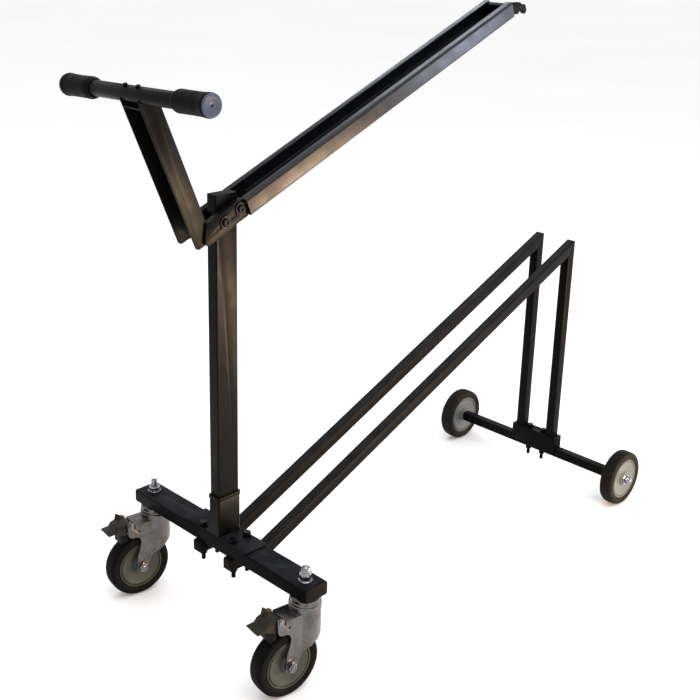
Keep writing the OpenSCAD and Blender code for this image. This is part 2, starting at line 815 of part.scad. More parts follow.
// the pedal: bent skin between two cheeks, with an upright ear on the left to lift it again
module pedal(side) {
  ear_t = 5;
  color("#5b564d") on_caster(side) difference() {
    union() {
      upright(pedal_w) pedal_skin();
      for (y = [-1, 1]) upright(pedal_t, y * (pedal_w - pedal_t) / 2) {
        translate([pin_x, pin_z]) circle(r = 5);
        polygon([
          [-97, 150], [-92, 150.6], [-87.4, 156.8], [-79.8, 160.2], [pin_x, 161],
          [pin_x + 4.6, pin_z], [pin_x + 1, 151], [-72, 139], [-84, 142.6]
        ]);
      }
      upright(ear_t, (pedal_w - ear_t) / 2)
        polygon([[-80, 160], [-77.2, 171.8], [-75.4, 172.4], [-70.6, 168.6], [-60.5, 160.6]]);
    }
    translate([pin_x, 0, pin_z]) cross_rod(pin_d + 2 * run_fit, -40, 40);
  }
}

module pedal_pin(side) {
  color("#c4c6c8") on_caster(side) translate([pin_x, 0, pin_z]) {
    cross_rod(pin_d, -fork_outer / 2 - 1, fork_outer / 2 + 1);
    for (y = [-1, 1]) scale([1, y, 1]) cross_rod(9, fork_outer / 2, fork_outer / 2 + 1.8);
  }
}

// block between the pedal's cheeks; it stops just off the tread when the pedal is pressed
module brake_shoe(side) {
  width = pedal_w - 2 * pedal_t;
  color("#2c2b29") on_caster(side) difference() {
    upright(width) polygon([
      [-81, 146], [-79, 157.6], [-68, 158], [-68, 128], [-70, 119], [-79, 114], [-81.5, 121]
    ]);
    translate([pin_x, 0, pin_z]) rotate([0, pedal_travel, 0]) translate([-pin_x, 0, -pin_z])
      translate([-caster_trail, 0, wheel_r])
        upright(2 * width) circle(r = wheel_r + shoe_gap, $fn = 96);
  }
}

module caster_axle(side) {
  color("#c9ccd0") on_caster_axle(side) {
    cross_rod(axle_d, -fork_outer / 2 - 8, fork_outer / 2 + 8);
    for (y = [-1, 1]) scale([1, y, 1]) {
      cross_rod(19, fork_outer / 2, fork_outer / 2 + 1.6);
      translate([0, fork_outer / 2 + 1.6, 0]) rotate([-90, 0, 0]) hex_nut(16, 6.5);
    }
  }
}

module caster_rim(side) {
  color("#8b9188") on_caster_axle(side) rim(caster_wheel_w + 2, caster_rim_r, 15, caster_bush_d);
}
module caster_tyre(side) {
  color("#2e2f31") on_caster_axle(side) tyre(caster_wheel_w, caster_rim_r);
}
module caster_bush(side) {
  color("#d8d6cf") on_caster_axle(side)
    bush(fork_inner - 1, caster_bush_d, axle_d + 2 * run_fit);
}

module fork_left() { fork(1); }
module ball_ring_left() { ball_ring(1); }
module pedal_left() { pedal(1); }
module pedal_pin_left() { pedal_pin(1); }
module brake_shoe_left() { brake_shoe(1); }
module caster_axle_left() { caster_axle(1); }
module caster_rim_left() { caster_rim(1); }
module caster_tyre_left() { caster_tyre(1); }
module caster_bush_left() { caster_bush(1); }
module fork_right() { fork(-1); }
module ball_ring_right() { ball_ring(-1); }
module pedal_right() { pedal(-1); }
module pedal_pin_right() { pedal_pin(-1); }
module brake_shoe_right() { brake_shoe(-1); }
module caster_axle_right() { caster_axle(-1); }
module caster_rim_right() { caster_rim(-1); }
module caster_tyre_right() { caster_tyre(-1); }
module caster_bush_right() { caster_bush(-1); }

// ---- what is drawn -------------------------------------------------------

front_beam();
beam_caps();
saddle_plate();
column_socket();
socket_collar();
column();
column_cap();
head_bracket();
head_spacers();
head_bolts();
upper_rail();
rail_end_cap();
rail_hook();
handle_arm();
handle_bar();
grip_left();
grip_right();
grip_discs();
handle_screws();
lower_rail_left();
lower_rail_right();
foot_plugs();
foot_bolts();
leg_left();
leg_right();
leg_yoke();
yoke_bolts();
rear_beam();
rear_axle();
rear_axle_nuts();
stem_bolts();
stem_nuts();
caster_races();
rear_rim_left();
rear_tyre_left();
rear_bush_left();
rear_rim_right();
rear_tyre_right();
rear_bush_right();
fork_left();
ball_ring_left();
pedal_left();
pedal_pin_left();
brake_shoe_left();
caster_axle_left();
caster_rim_left();
caster_tyre_left();
caster_bush_left();
fork_right();
ball_ring_right();
pedal_right();
pedal_pin_right();
brake_shoe_right();
caster_axle_right();
caster_rim_right();
caster_tyre_right();
caster_bush_right();
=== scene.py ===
"""Looks of a wheeled stand trolley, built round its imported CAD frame. Metres, the frame's own axes."""
import json
import math

import bmesh
import bpy
from mathutils import Matrix, Vector


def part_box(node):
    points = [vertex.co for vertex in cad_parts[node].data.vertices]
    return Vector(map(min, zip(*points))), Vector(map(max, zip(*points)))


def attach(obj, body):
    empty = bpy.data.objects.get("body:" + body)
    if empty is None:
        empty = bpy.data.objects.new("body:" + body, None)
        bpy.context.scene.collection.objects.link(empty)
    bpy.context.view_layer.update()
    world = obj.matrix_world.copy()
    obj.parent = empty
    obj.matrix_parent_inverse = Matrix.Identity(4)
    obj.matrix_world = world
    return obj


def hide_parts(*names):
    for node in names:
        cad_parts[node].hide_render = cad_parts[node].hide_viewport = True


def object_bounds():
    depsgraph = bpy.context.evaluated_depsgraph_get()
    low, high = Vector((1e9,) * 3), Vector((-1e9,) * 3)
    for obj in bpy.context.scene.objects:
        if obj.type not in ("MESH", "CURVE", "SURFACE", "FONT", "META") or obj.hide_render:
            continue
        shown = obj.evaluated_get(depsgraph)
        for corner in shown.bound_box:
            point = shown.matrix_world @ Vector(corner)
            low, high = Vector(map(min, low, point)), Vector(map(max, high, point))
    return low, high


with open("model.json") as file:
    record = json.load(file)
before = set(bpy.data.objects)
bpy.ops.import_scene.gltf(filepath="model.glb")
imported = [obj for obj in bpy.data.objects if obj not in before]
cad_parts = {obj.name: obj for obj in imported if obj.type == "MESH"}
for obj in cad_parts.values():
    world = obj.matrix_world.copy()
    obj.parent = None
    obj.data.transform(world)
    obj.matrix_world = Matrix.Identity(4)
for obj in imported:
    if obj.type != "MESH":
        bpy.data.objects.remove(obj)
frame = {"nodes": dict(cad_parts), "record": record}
cad_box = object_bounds()

MM = 0.001
WELD = 2e-6  # vertices closer than this are taken as one
FLAT_DEG = 0.8  # faces that meet at less are taken as one flat face
CORNER_DEG = 38.0  # edges sharper than this are rolled over
NODES = frame["nodes"]
SLOT_OF = {part["node"]: part["material_slot"] for part in frame["record"]["subparts"]}
BODY_OF = {node: body for body, nodes in frame["record"]["behaviour"]["bodies"].items()
           for node in nodes}
SIDES = ("left", "right")


# ---- materials -----------------------------------------------------------------------------------

class Graph:
    """A material's node tree, with short calls for the nodes that the finishes share."""

    def __init__(self, name):
        self.material = bpy.data.materials.new(name)
        self.material.use_nodes = True
        self.tree = self.material.node_tree
        self.shader = self.tree.nodes["Principled BSDF"]
        self.place = self.node("ShaderNodeTexCoord").outputs["Object"]

    def node(self, kind, inputs=None, **settings):
        made = self.tree.nodes.new(kind)
        for key, value in settings.items():
            setattr(made, key, value)
        for key, value in (inputs or {}).items():
            if isinstance(value, bpy.types.NodeSocket):
                self.tree.links.new(value, made.inputs[key])
            else:
                made.inputs[key].default_value = value
        return made

    def noise(self, scale, detail=3.0, rough=0.5, stretch=None):
        where = self.place
        if stretch:
            where = self.node("ShaderNodeMapping", {"Vector": where, "Scale": stretch}).outputs[0]
        return self.node("ShaderNodeTexNoise", {"Vector": where, "Scale": scale, "Detail": detail,
                                                "Roughness": rough}).outputs["Fac"]

    def spread(self, value, low, high, to_low=0.0, to_high=1.0):
        return self.node("ShaderNodeMapRange", {"Value": value, "From Min": low, "From Max": high,
                                                "To Min": to_low, "To Max": to_high}).outputs[0]

    def mix(self, amount, a, b):
        made = self.node("ShaderNodeMix", data_type="RGBA")
        for index, value in ((0, amount), (6, a), (7, b)):
            if isinstance(value, bpy.types.NodeSocket):
                self.tree.links.new(value, made.inputs[index])
            else:
                made.inputs[index].default_value = value if index == 0 else (*value, 1.0)
        return made.outputs[2]

    def bump(self, height, strength, distance, under=None):
        inputs = {"Height": height, "Strength": strength, "Distance": distance}
        if under:
            inputs["Normal"] = under
        return self.node("ShaderNodeBump", inputs).outputs[0]

    def upward(self):
        """1 on faces that look up, 0 on the rest: where dust settles."""
        normal = self.node("ShaderNodeNewGeometry").outputs["Normal"]
        up = self.node("ShaderNodeSeparateXYZ", {0: normal}).outputs["Z"]
        return self.spread(up, 0.6, 1.0)

    def finish(self, colour=None, roughness=None, normal=None, **constants):
        for key, value in (("Base Color", colour), ("Roughness", roughness), ("Normal", normal)):
            if value is not None:
                self.tree.links.new(value, self.shader.inputs[key])
        for key, value in constants.items():
            self.shader.inputs[key.replace("_", " ")].default_value = value
        return self.material


def powder_coat(name, colour, worn, dust, roughness, specular):
    """Satin black powder coat: fine orange peel, cloudy tone, dust on top, a few rubbed spots."""
    g = Graph(name)
    cloud = g.spread(g.noise(9.0, 4.0), 0.35, 0.7)
    base = g.mix(cloud, colour, [c * 1.35 for c in colour])
    rubbed = g.spread(g.noise(55.0, 6.0, 0.65, (1.0, 1.0, 0.35)), 0.66, 0.74)
    base = g.mix(rubbed, base, worn)
    settled = g.node("ShaderNodeMath", {0: g.upward(), 1: g.spread(g.noise(30.0, 5.0), 0.3, 0.8)},
                     operation="MULTIPLY").outputs[0]
    base = g.mix(settled, base, dust)
    gloss = g.spread(g.noise(24.0, 5.0), 0.3, 0.7, roughness - 0.06, roughness + 0.1)
    peel = g.bump(g.noise(1400.0, 2.0), 0.16, 0.0004)
    return g.finish(base, gloss, g.bump(g.noise(90.0, 2.0), 0.05, 0.0008, peel),
                    Specular_IOR_Level=specular)


def plated(name, colour, stain, roughness):
    """Plated steel: drawn streaks, faint stains and fine pits."""
    g = Graph(name)
    stained = g.spread(g.noise(38.0, 6.0, 0.6), 0.4, 0.72)
    streak = g.noise(420.0, 3.0, 0.5, (1.0, 1.0, 0.12))
    gloss = g.spread(streak, 0.3, 0.7, roughness - 0.08, roughness + 0.12)
    pits = g.bump(g.noise(900.0, 3.0), 0.12, 0.0003)
    return g.finish(g.mix(stained, colour, stain), gloss, g.bump(streak, 0.06, 0.0004, pits),
                    Metallic=1.0)


def rubber(name, colour, dusty, specular, roughness=0.62, grain=700.0):
    """Moulded rubber: fine grain, chalky bloom and scuffs."""
    g = Graph(name)
    bloom = g.spread(g.noise(26.0, 6.0, 0.6), 0.35, 0.75)
    scuff = g.spread(g.noise(160.0, 4.0, 0.6), 0.6, 0.75)
    base = g.mix(scuff, g.mix(bloom, colour, dusty), [c * 1.5 for c in dusty])
    gloss = g.spread(g.noise(60.0, 4.0), 0.3, 0.7, roughness - 0.08, roughness + 0.12)
    return g.finish(base, gloss, g.bump(g.noise(grain, 3.0), 0.3, 0.0005),
                    Specular_IOR_Level=specular)


def moulded(name, colour, tone, roughness, specular):
    """Injection-moulded plastic: slight tone drift, dirt specks, light grain."""
    g = Graph(name)
    drift = g.spread(g.noise(18.0, 5.0), 0.35, 0.7)
    specks = g.spread(g.noise(240.0, 5.0, 0.6), 0.64, 0.72)
    base = g.mix(specks, g.mix(drift, colour, tone), [c * 0.45 for c in tone])
    gloss = g.spread(g.noise(70.0, 4.0), 0.3, 0.7, roughness - 0.08, roughness + 0.1)
    return g.finish(base, gloss, g.bump(g.noise(500.0, 3.0), 0.12, 0.0004),
                    Specular_IOR_Level=specular)


LOOKS = {  # material slot: maker of its finish, and what it is given
    "beam_coat": (powder_coat, dict(
        colour=(0.0018, 0.0018, 0.0023), worn=(0.005, 0.005, 0.006), dust=(0.017, 0.018, 0.022),
        roughness=0.42, specular=0.03)),
    "column_coat": (powder_coat, dict(
        colour=(0.0022, 0.0019, 0.0016), worn=(0.006, 0.0045, 0.0035), dust=(0.006, 0.0055, 0.005),
        roughness=0.36, specular=0.06)),
    "rail_coat": (powder_coat, dict(
        colour=(0.006, 0.0065, 0.0085), worn=(0.013, 0.014, 0.018), dust=(0.012, 0.014, 0.019),
        roughness=0.34, specular=0.22)),
    "tube_coat": (powder_coat, dict(
        colour=(0.0019, 0.0017, 0.0016), worn=(0.0055, 0.005, 0.0045), dust=(0.012, 0.012, 0.013),
        roughness=0.42, specular=0.04)),
    "plastic_black": (moulded, dict(
        colour=(0.0016, 0.0016, 0.0017), tone=(0.003, 0.003, 0.0035), roughness=0.5, specular=0.04)),
    "bolt_black": (plated, dict(
        colour=(0.006, 0.0065, 0.009), stain=(0.004, 0.0035, 0.0035), roughness=0.36)),
    "zinc": (plated, dict(
        colour=(0.135, 0.133, 0.138), stain=(0.085, 0.07, 0.052), roughness=0.3)),
    "chrome_nut": (plated, dict(
        colour=(0.34, 0.35, 0.39), stain=(0.14, 0.135, 0.13), roughness=0.14)),
    "steel_bare": (plated, dict(
        colour=(0.2, 0.205, 0.225), stain=(0.11, 0.1, 0.085), roughness=0.22)),
    "pedal_bronze": (powder_coat, dict(
        colour=(0.009, 0.008, 0.0055), worn=(0.024, 0.021, 0.015), dust=(0.02, 0.018, 0.013),
        roughness=0.38, specular=0.14)),
    "grip_rubber": (rubber, dict(
        colour=(0.0015, 0.0014, 0.0014), dusty=(0.003, 0.003, 0.003), roughness=0.5, grain=900.0,
        specular=0.05)),
    "grip_cap": (moulded, dict(
        colour=(0.045, 0.058, 0.092), tone=(0.034, 0.045, 0.075), roughness=0.24, specular=0.3)),
    "rear_disc": (moulded, dict(
        colour=(0.085, 0.098, 0.1), tone=(0.065, 0.077, 0.078), roughness=0.36, specular=0.25)),
    "caster_disc": (moulded, dict(
        colour=(0.034, 0.037, 0.028), tone=(0.022, 0.025, 0.018), roughness=0.32, specular=0.25)),
    "rear_tread": (rubber, dict(
        colour=(0.0065, 0.0053, 0.0038), dusty=(0.012, 0.01, 0.0075), specular=0.06)),
    "caster_tread": (rubber, dict(
        colour=(0.0016, 0.0016, 0.0018), dusty=(0.0035, 0.0035, 0.004), specular=0.05)),
    "bush_nylon": (moulded, dict(
        colour=(0.2, 0.19, 0.17), tone=(0.14, 0.13, 0.115), roughness=0.45, specular=0.4)),
}
FINISHES = {slot: make(slot, **look) for slot, (make, look) in LOOKS.items()}

for name, node in NODES.items():
    node.data.materials.clear()
    node.data.materials.append(FINISHES[SLOT_OF[name]])


# ---- building pieces -----------------------------------------------------------------------------

def shade(mesh, sharp_deg=32.0):
    """Smooth faces, with creases where two faces meet at more than the given angle."""
    limit = math.radians(sharp_deg)
    bm = bmesh.new()
    bm.from_mesh(mesh)
    for face in bm.faces:
        face.smooth = True
    for edge in bm.edges:
        edge.smooth = len(edge.link_faces) == 2 and edge.calc_face_angle(0.0) < limit
    bm.to_mesh(mesh)
    bm.free()


def add_piece(name, mesh, node):
    """Shows a mesh in the stead of one CAD node, with its finish and its motion."""
    piece = bpy.data.objects.new(name, mesh)
    bpy.context.collection.objects.link(piece)
    mesh.materials.clear()
    mesh.materials.append(FINISHES[SLOT_OF[node]])
    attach(piece, BODY_OF[node])
    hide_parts(node)


def soften(node, radius):
    """Shows a CAD node with its sharp edges rolled over, as coating and pressing leave them."""
    mesh = NODES[node].data.copy()
    bm = bmesh.new()
    bm.from_mesh(mesh)
    bmesh.ops.remove_doubles(bm, verts=bm.verts, dist=WELD)
    bmesh.ops.dissolve_limit(bm, angle_limit=math.radians(FLAT_DEG), verts=bm.verts, edges=bm.edges)
    bm.to_mesh(mesh)
    bm.free()
    work = bpy.data.objects.new(node + "_work", mesh)
    bpy.context.collection.objects.link(work)
    bevel = work.modifiers.new("edges", "BEVEL")
    bevel.width = radius
    bevel.segments = 2
    bevel.limit_method = "ANGLE"
    bevel.angle_limit = math.radians(CORNER_DEG)
    bevel.use_clamp_overlap = True
    bevel.miter_outer = "MITER_ARC"
    bpy.context.view_layer.update()
    bevelled = work.evaluated_get(bpy.context.evaluated_depsgraph_get())
    made = bpy.data.meshes.new_from_object(bevelled)
    bpy.data.objects.remove(work)
    shade(made)
    add_piece(node + "_finished", made, node)


def axis_frame(origin, axis):
    """A matrix whose z runs along axis from origin."""
    turn = Vector((0, 0, 1)).rotation_difference(Vector(axis).normalized()).to_matrix().to_4x4()
    return Matrix.Translation(Vector(origin)) @ turn


def hex_radius(angle, flats):
    """Distance from the centre to the edge of a hexagon that is flats wide."""
    return flats / 2 / math.cos((angle + math.pi / 6) % (math.pi / 3) - math.pi / 6)


def turn_solid(bm, place, outline, sides=48):
    """Adds a closed solid of rings (height, radius) or (height, flats, round radius) to bm."""
    rings = []
    for step in outline:
        ring = []
        for i in range(sides):
            angle = 2 * math.pi * i / sides
            radius = step[1] if len(step) == 2 else min(hex_radius(angle, step[1]), step[2])
            ring.append(bm.verts.new(place @ Vector((radius * math.cos(angle),
                                                     radius * math.sin(angle), step[0]))))
        rings.append(ring)
    for low, high in zip(rings, rings[1:]):
        for i in range(sides):
            j = (i + 1) % sides
            bm.faces.new((low[i], low[j], high[j], high[i]))
    bm.faces.new(list(reversed(rings[0])))
    bm.faces.new(rings[-1])


def nut_outline(low, high, flats):
    """Hexagon with the corners chamfered at both faces."""
    corner, chamfer = flats / 2 / math.cos(math.pi / 6), 0.12 * (high - low)
    face = flats / 2 * 0.97
    return [(low, flats, face), (low + chamfer, flats, corner * 1.01),
            (high - chamfer, flats, corner * 1.01), (high, flats, face)]


def thread_outline(low, high, radius, pitch):
    """Rod with thread ridges and a chamfered end at high."""
    outline, depth = [(low, radius)], 0.07 * radius + 0.12 * MM
    turns = max(2, int((high - low - pitch) / pitch))
    for i in range(turns):
        at = low + i * pitch
        outline += [(at + 0.1 * pitch, radius), (at + 0.45 * pitch, radius - depth),
                    (at + 0.6 * pitch, radius - depth), (at + 0.95 * pitch, radius)]
    return outline + [(high - 0.6 * pitch, radius), (high, radius * 0.72)]


def washer_outline(low, high, radius):
    """Washer, as a disc with both rims chamfered: a rod fills its hole."""
    edge = 0.2 * (high - low)
    return [(low, radius - edge), (low + edge, radius), (high - edge, radius), (high, radius - edge)]


def finish_solids(bm, node, sharp_deg=32.0):
    """Turns bm into the shown version of a CAD node."""
    name = node + "_finished"
    mesh = bpy.data.meshes.new(name)
    bm.normal_update()
    bm.to_mesh(mesh)
    bm.free()
    shade(mesh, sharp_deg)
    add_piece(name, mesh, node)


def islands(node):
    """The separate solids of a CAD node, each as its lowest and highest corner."""
    bm = bmesh.new()
    bm.from_mesh(NODES[node].data)
    bmesh.ops.remove_doubles(bm, verts=bm.verts, dist=WELD)
    left, found = set(bm.verts), []
    while left:
        stack, group = [next(iter(left))], []
        left.discard(stack[0])
        while stack:
            vert = stack.pop()
            group.append(vert.co.copy())
            for edge in vert.link_edges:
                other = edge.other_vert(vert)
                if other in left:
                    left.discard(other)
                    stack.append(other)
        found.append((Vector([min(c[k] for c in group) for k in range(3)]),
                      Vector([max(c[k] for c in group) for k in range(3)])))
    bm.free()
    return sorted(found, key=lambda box: tuple(round(v, 5) for v in box[0]))


def along(node, origin, axis):
    """Lowest and highest reach of a node along an axis, and its radius round it."""
    origin, axis = Vector(origin), Vector(axis).normalized()
    reach = [(v.co - origin).dot(axis) for v in NODES[node].data.vertices]
    radius = max(((v.co - origin) - axis * (v.co - origin).dot(axis)).length
                 for v in NODES[node].data.vertices)
    return min(reach), max(reach), radius


def joint(name):
    """Place and axis of a joint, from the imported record."""
    found = next(j for j in frame["record"]["behaviour"]["joints"] if j["name"] == name)
    return Vector(found["pos_m"]), Vector(found["axis"])


# ---- pressed, cut and bent metal -----------------------------------------------------------------

EDGE_RADII = {
    0.9 * MM: ("beam_caps", "column_cap", "rail_hook", "foot_plugs", "rail_end_cap"),
    0.5 * MM: ("front_beam", "saddle_plate", "column", "column_socket", "upper_rail",
               "rear_beam", "handle_bar", "leg_yoke"),
    0.7 * MM: ("head_bracket", "handle_arm", "fork_left", "fork_right",
               "pedal_left", "pedal_right"),
    0.3 * MM: ("socket_collar", "head_spacers", "pedal_pin_left", "pedal_pin_right",
               "brake_shoe_left", "brake_shoe_right", "rear_axle"),
    1.6 * MM: ("lower_rail_left", "lower_rail_right", "leg_left", "leg_right"),
}
for edge_radius, node_names in EDGE_RADII.items():
    for name in node_names:
        soften(name, edge_radius)


# ---- wheels --------------------------------------------------------------------------------------

def arc(centre_z, centre_r, radius, start_deg, end_deg, steps):
    """Points (height, radius) on an arc in the half plane of a turned part."""
    angles = [math.radians(start_deg + (end_deg - start_deg) * i / steps) for i in range(steps + 1)]
    return [(centre_z + radius * math.cos(angle), centre_r + radius * math.sin(angle))
            for angle in angles]


def turn_ring(bm, place, outline, sides=128):
    """Adds a ring: a closed outline of (height, radius) turned round the axis."""
    rings = [[bm.verts.new(place @ Vector((r * math.cos(2 * math.pi * i / sides),
                                           r * math.sin(2 * math.pi * i / sides), z)))
              for z, r in outline] for i in range(sides)]
    count = len(outline)
    for i in range(sides):
        near, far = rings[i], rings[(i + 1) % sides]
        for k in range(count):
            m = (k + 1) % count
            bm.faces.new((near[k], far[k], far[m], near[m]))


def tyre_outline(half, rim_r, outer_r, shoulder, tread_crown):
    """Rounded shoulders, crowned tread, a step in the side wall."""
    wall = half - 0.6 * MM
    left = [(-wall + 0.9 * MM, rim_r), (-wall, rim_r + 1.2 * MM),
            (-wall, rim_r + 3.6 * MM), (-half, rim_r + 4.6 * MM)]
    left += arc(-half + shoulder, outer_r - shoulder - tread_crown, shoulder, 180, 104, 8)
    crown = [(-half * 0.3, outer_r), (half * 0.3, outer_r)]
    right = [(-z, r) for z, r in reversed(left)]
    return left + crown + right


def rim_outline(half, rim_r, bore_r, hub_r, dish):
    """Rim band, sunk groove, raised ring, dished disc and hub, on both faces."""
    face = half - 1.4 * MM
    disc_face, disc_r = face - 0.9 * MM, rim_r - 7.2 * MM
    side = [(face - 0.8 * MM, rim_r), (face, rim_r - 0.8 * MM), (face, rim_r - 2.6 * MM),
            (face - 0.7 * MM, rim_r - 3.3 * MM), (face - 3.2 * MM, rim_r - 3.6 * MM),
            (face - 3.6 * MM, rim_r - 4.2 * MM), (face - 3.2 * MM, rim_r - 4.8 * MM),
            (face - 1.0 * MM, rim_r - 5.2 * MM), (face - 0.6 * MM, rim_r - 6.0 * MM),
            (disc_face, disc_r)]
    span = disc_r - hub_r - 1.5 * MM
    for i in range(1, 9):
        t = i / 8
        side.append((disc_face - dish * math.sin(math.pi * t / 2), disc_r - span * t))
    side += [(face - dish - 0.2 * MM, hub_r + 0.8 * MM), (half - 1.2 * MM, hub_r),
             (half - 0.4 * MM, hub_r - 0.7 * MM), (half, hub_r - 1.6 * MM), (half, bore_r)]
    return side + [(-z, r) for z, r in reversed(side)]


WHEEL_KINDS = {  # joint name, hub radius, depth of the dished disc
    "caster": ("caster_{side}_wheel_spin", 14.5 * MM, 3.4 * MM),
    "rear": ("rear_wheel_{side}_spin", 15.5 * MM, 2.6 * MM),
}


def dress_wheel(kind, side):
    """Tyre and rim of one wheel, turned about its joint's axis."""
    spin, hub_r, dish = WHEEL_KINDS[kind]
    origin, axis = joint(spin.format(side=side))
    place = axis_frame(origin, axis)
    tyre, rim, bush = f"{kind}_tyre_{side}", f"{kind}_rim_{side}", f"{kind}_bush_{side}"
    low, high, outer_r = along(tyre, origin, axis)
    rim_low, rim_high, rim_r = along(rim, origin, axis)
    bush_r = along(bush, origin, axis)[2]
    bm = bmesh.new()
    turn_ring(bm, place, tyre_outline((high - low) / 2, rim_r, outer_r, shoulder=6.5 * MM,
                                      tread_crown=0.4 * MM))
    finish_solids(bm, tyre)
    bm = bmesh.new()
    turn_ring(bm, place, rim_outline((rim_high - rim_low) / 2, rim_r, bush_r, hub_r, dish))
    finish_solids(bm, rim, sharp_deg=45.0)


for side in SIDES:
    dress_wheel("caster", side)
    dress_wheel("rear", side)


# ---- handle --------------------------------------------------------------------------------------

def middle(node):
    """Centre of a node's box."""
    low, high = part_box(node)
    return (Vector(low) + Vector(high)) / 2


def rail_axis():
    """Unit vector up the tray rail, from the mean point of its low half to that of its high half."""
    verts = [v.co for v in NODES["upper_rail"].data.vertices]
    split = middle("upper_rail").x
    low_half = [c for c in verts if c.x < split]
    high_half = [c for c in verts if c.x >= split]
    run = sum(high_half, Vector()) / len(high_half) - sum(low_half, Vector()) / len(low_half)
    return Vector((run.x, 0.0, run.z)).normalized()


bar_middle = middle("handle_bar")
bar_axis = (middle("grip_left") - middle("grip_right")).normalized()
bar_up = rail_axis().cross(bar_axis)


def dress_grip(side):
    """Grip with a tapered mouth, a soft swell and a rolled end."""
    node = "grip_" + side
    axis = bar_axis if side == "left" else -bar_axis
    near, far, outer_r = along(node, bar_middle, axis)
    bar_r = along("handle_bar", bar_middle, axis)[2]
    length = far - near
    place = axis_frame(bar_middle + axis * near, axis)
    body_r = outer_r - 0.7 * MM
    bore_r, lip_r = bar_r + 0.1 * MM, bar_r + 1.5 * MM
    outline = [(0, bore_r), (0, bar_r + 0.8 * MM), (0.6 * MM, bar_r + 1.3 * MM)]
    for i in range(7):
        t = i / 6
        rise = (1 - math.cos(math.pi * t)) / 2
        outline.append((1.2 * MM + 7.5 * MM * t, lip_r + (body_r - lip_r) * rise))
    for i in range(1, 9):
        t = i / 8
        outline.append((8.7 * MM + (length - 17 * MM) * t, body_r - 0.35 * MM * math.sin(math.pi * t)))
    outline += [(length - 6.5 * MM, outer_r - 0.1 * MM), (length - 2.0 * MM, outer_r),
                (length - 0.6 * MM, outer_r - 0.5 * MM), (length, outer_r - 1.4 * MM),
                (length, bore_r)]
    bm = bmesh.new()
    turn_ring(bm, place, outline, 96)
    finish_solids(bm, node, sharp_deg=50.0)


def dress_grip_discs():
    """Glossy end discs: rolled rim, shallow turned rings and a centre dimple."""
    _, reach, radius = along("grip_discs", bar_middle, bar_axis)
    face, stub_r, ring_r = 11 * MM, radius - 6.5 * MM, radius - 3.4 * MM
    outline = [(0, stub_r), (face - 3.2 * MM, stub_r), (face - 3.0 * MM, radius - 1.2 * MM),
               (face - 2.2 * MM, radius - 0.3 * MM), (face - 1.2 * MM, radius - 0.6 * MM),
               (face - 0.3 * MM, radius - 1.6 * MM), (face, radius - 2.6 * MM),
               (face - 0.5 * MM, ring_r)]
    for i in range(1, 7):
        t = i / 7
        lift = 0.18 * MM if i % 2 else 0.0
        outline.append((face - 0.5 * MM - 0.9 * MM * math.sin(t * math.pi / 2) + lift,
                        ring_r * (1 - t) + 2.6 * MM * t))
    outline += [(face - 1.6 * MM, 2.5 * MM), (face - 3.6 * MM, 2.1 * MM), (face - 3.9 * MM, 0.8 * MM)]
    bm = bmesh.new()
    for axis in (bar_axis, -bar_axis):
        turn_solid(bm, axis_frame(bar_middle + axis * (reach - face), axis), outline, 72)
    finish_solids(bm, "grip_discs", sharp_deg=28.0)


for side in SIDES:
    dress_grip(side)
dress_grip_discs()


# ---- bolts and nuts ------------------------------------------------------------------------------

M8_R, M8_FLATS, M8_PITCH = 4 * MM, 13 * MM, 1.25 * MM


def dress_plate_bolts(node, plate_top, tube_bottom):
    """Vertical bolts through a plate and a tube: hexagon above, washer, nut and thread below."""
    washer_r, washer_h, nut_h = 8 * MM, 1.6 * MM, 7 * MM
    bm = bmesh.new()
    for low, high in islands(node):
        centre = (low + high) / 2
        place = axis_frame((centre.x, centre.y, 0), (0, 0, 1))
        under = tube_bottom - washer_h
        turn_solid(bm, place, [(plate_top - 2 * MM, M8_R), (plate_top + 2 * MM, M8_R)], 24)
        turn_solid(bm, place, washer_outline(plate_top, plate_top + washer_h, washer_r))
        turn_solid(bm, place, nut_outline(plate_top + washer_h, high.z, M8_FLATS))
        turn_solid(bm, place, washer_outline(under, tube_bottom, washer_r))
        turn_solid(bm, place, nut_outline(under - nut_h, under, M8_FLATS))
        down = axis_frame((centre.x, centre.y, tube_bottom), (0, 0, -1))
        turn_solid(bm, down, thread_outline(-2 * MM, tube_bottom - low.z, M8_R, M8_PITCH), 24)
    finish_solids(bm, node)


dress_plate_bolts("foot_bolts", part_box("saddle_plate")[1][2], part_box("foot_plugs")[0][2])
dress_plate_bolts("yoke_bolts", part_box("leg_yoke")[1][2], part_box("rear_beam")[0][2])


def dress_head_bolts():
    """Cross bolts: broad washer and socket head on the right, washer and nut on the left."""
    head_h, washer_h, washer_r = 5 * MM, 2 * MM, 11 * MM
    thread_low, nut_top = 7.5 * MM, 8.5 * MM
    head = [(washer_h, 7.0 * MM), (2.6 * MM, 7.5 * MM), (head_h - 1.3 * MM, 7.3 * MM),
            (head_h - 0.5 * MM, 6.7 * MM), (head_h, 5.2 * MM), (head_h, 3.4 * MM),
            (head_h - 0.3 * MM, 5 * MM, 2.9 * MM), (head_h - 1.5 * MM, 5 * MM, 2.8 * MM)]
    bm = bmesh.new()
    for low, high in islands("head_bolts"):
        centre = (low + high) / 2
        half = -low.y - head_h
        right = axis_frame((centre.x, -half, centre.z), (0, -1, 0))
        left = axis_frame((centre.x, half, centre.z), (0, 1, 0))
        for place in (right, left):
            turn_solid(bm, place, washer_outline(0, washer_h, washer_r))
        turn_solid(bm, right, head)
        turn_solid(bm, left, nut_outline(washer_h, nut_top, M8_FLATS))
        turn_solid(bm, left, thread_outline(thread_low, high.y - half, M8_R, M8_PITCH), 32)
    finish_solids(bm, "head_bolts")


dress_head_bolts()


